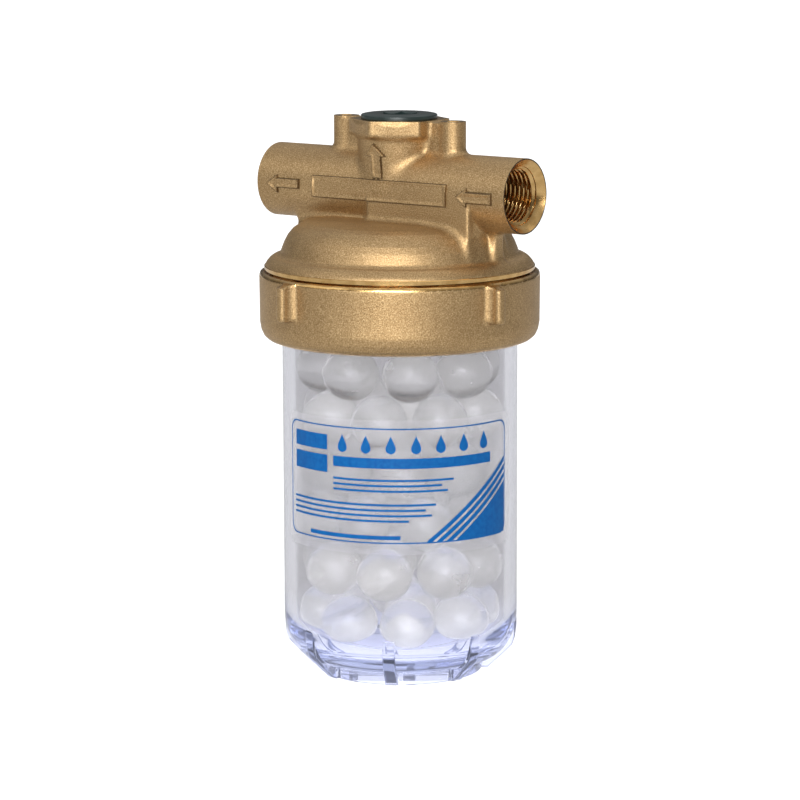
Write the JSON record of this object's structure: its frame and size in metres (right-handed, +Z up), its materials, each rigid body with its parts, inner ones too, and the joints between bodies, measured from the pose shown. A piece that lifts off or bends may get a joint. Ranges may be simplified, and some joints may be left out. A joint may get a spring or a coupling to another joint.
{
  "type": "inline water dosing filter",
  "caption": "Inline brass-headed water filter with a clear screw-on bowl of dosing balls, a lugged lock ring and a hex plug, for a boiler or heating feed pipe.",
  "frame": {"origin": "centre of the foot of the bowl, on the surface that the filter stands on", "axes": "+Z up along the bowl, +X along the ports towards the inlet, -Y towards the front of the head"},
  "size_m": [0.108, 0.108, 0.2006],
  "materials": {
    "cast_brass": "sandblasted casting, machined at the ports, flange and ring lip",
    "ring_brass": "sandblasted casting",
    "plug_plastic": "moulded, slightly glossy",
    "seal_rubber": "smooth",
    "inner_plastic": "moulded",
    "clear_bowl": "clear, polished",
    "label_film": "clear film with blue print",
    "dosing_glass": "frosted, translucent"
  },
  "bodies": {
    "housing": {"head": "cast_brass", "dosing_insert": "inner_plastic", "insert_oring_upper": "seal_rubber", "insert_oring_lower": "seal_rubber", "strainer_basket": "inner_plastic"},
    "bowl_group": {"bowl": "clear_bowl", "bowl_oring": "seal_rubber", "slip_washer": "inner_plastic", "label": "label_film", "ball_layer_1": "dosing_glass", "ball_layer_2": "dosing_glass", "ball_layer_3": "dosing_glass", "ball_layer_4": "dosing_glass", "ball_layer_5": "dosing_glass", "ball_layer_6": "dosing_glass", "ball_column": "dosing_glass"},
    "ring": {"lock_ring": "ring_brass"},
    "plug_seal": {"top_plug_oring": "seal_rubber"},
    "plug": {"top_plug": "plug_plastic"}
  },
  "joints": [
    {"name": "lock_ring_turn", "type": "hinge", "parent": "bowl_group", "child": "ring", "pos_m": [0, 0, 0.13], "axis": [0, 0, -1], "range_deg": [0, 1080]},
    {"name": "bowl_drop", "type": "slide", "parent": "housing", "child": "bowl_group", "axis": [0, 0, -1], "range_m": [0, 0.012]},
    {"name": "top_plug_turn", "type": "hinge", "parent": "plug_seal", "child": "plug", "pos_m": [0, 0, 0.1988], "axis": [0, 0, 1], "range_deg": [0, 2160]},
    {"name": "top_plug_rise", "type": "slide", "parent": "housing", "child": "plug_seal", "axis": [0, 0, 1], "range_m": [0, 0.01088]}
  ],
  "couplings": [
    {"joint": "bowl_drop", "follows": "lock_ring_turn", "m_per_rad": 0.00063662},
    {"joint": "top_plug_turn", "follows": "top_plug_rise", "rad_per_m": 3463.7}
  ]
}
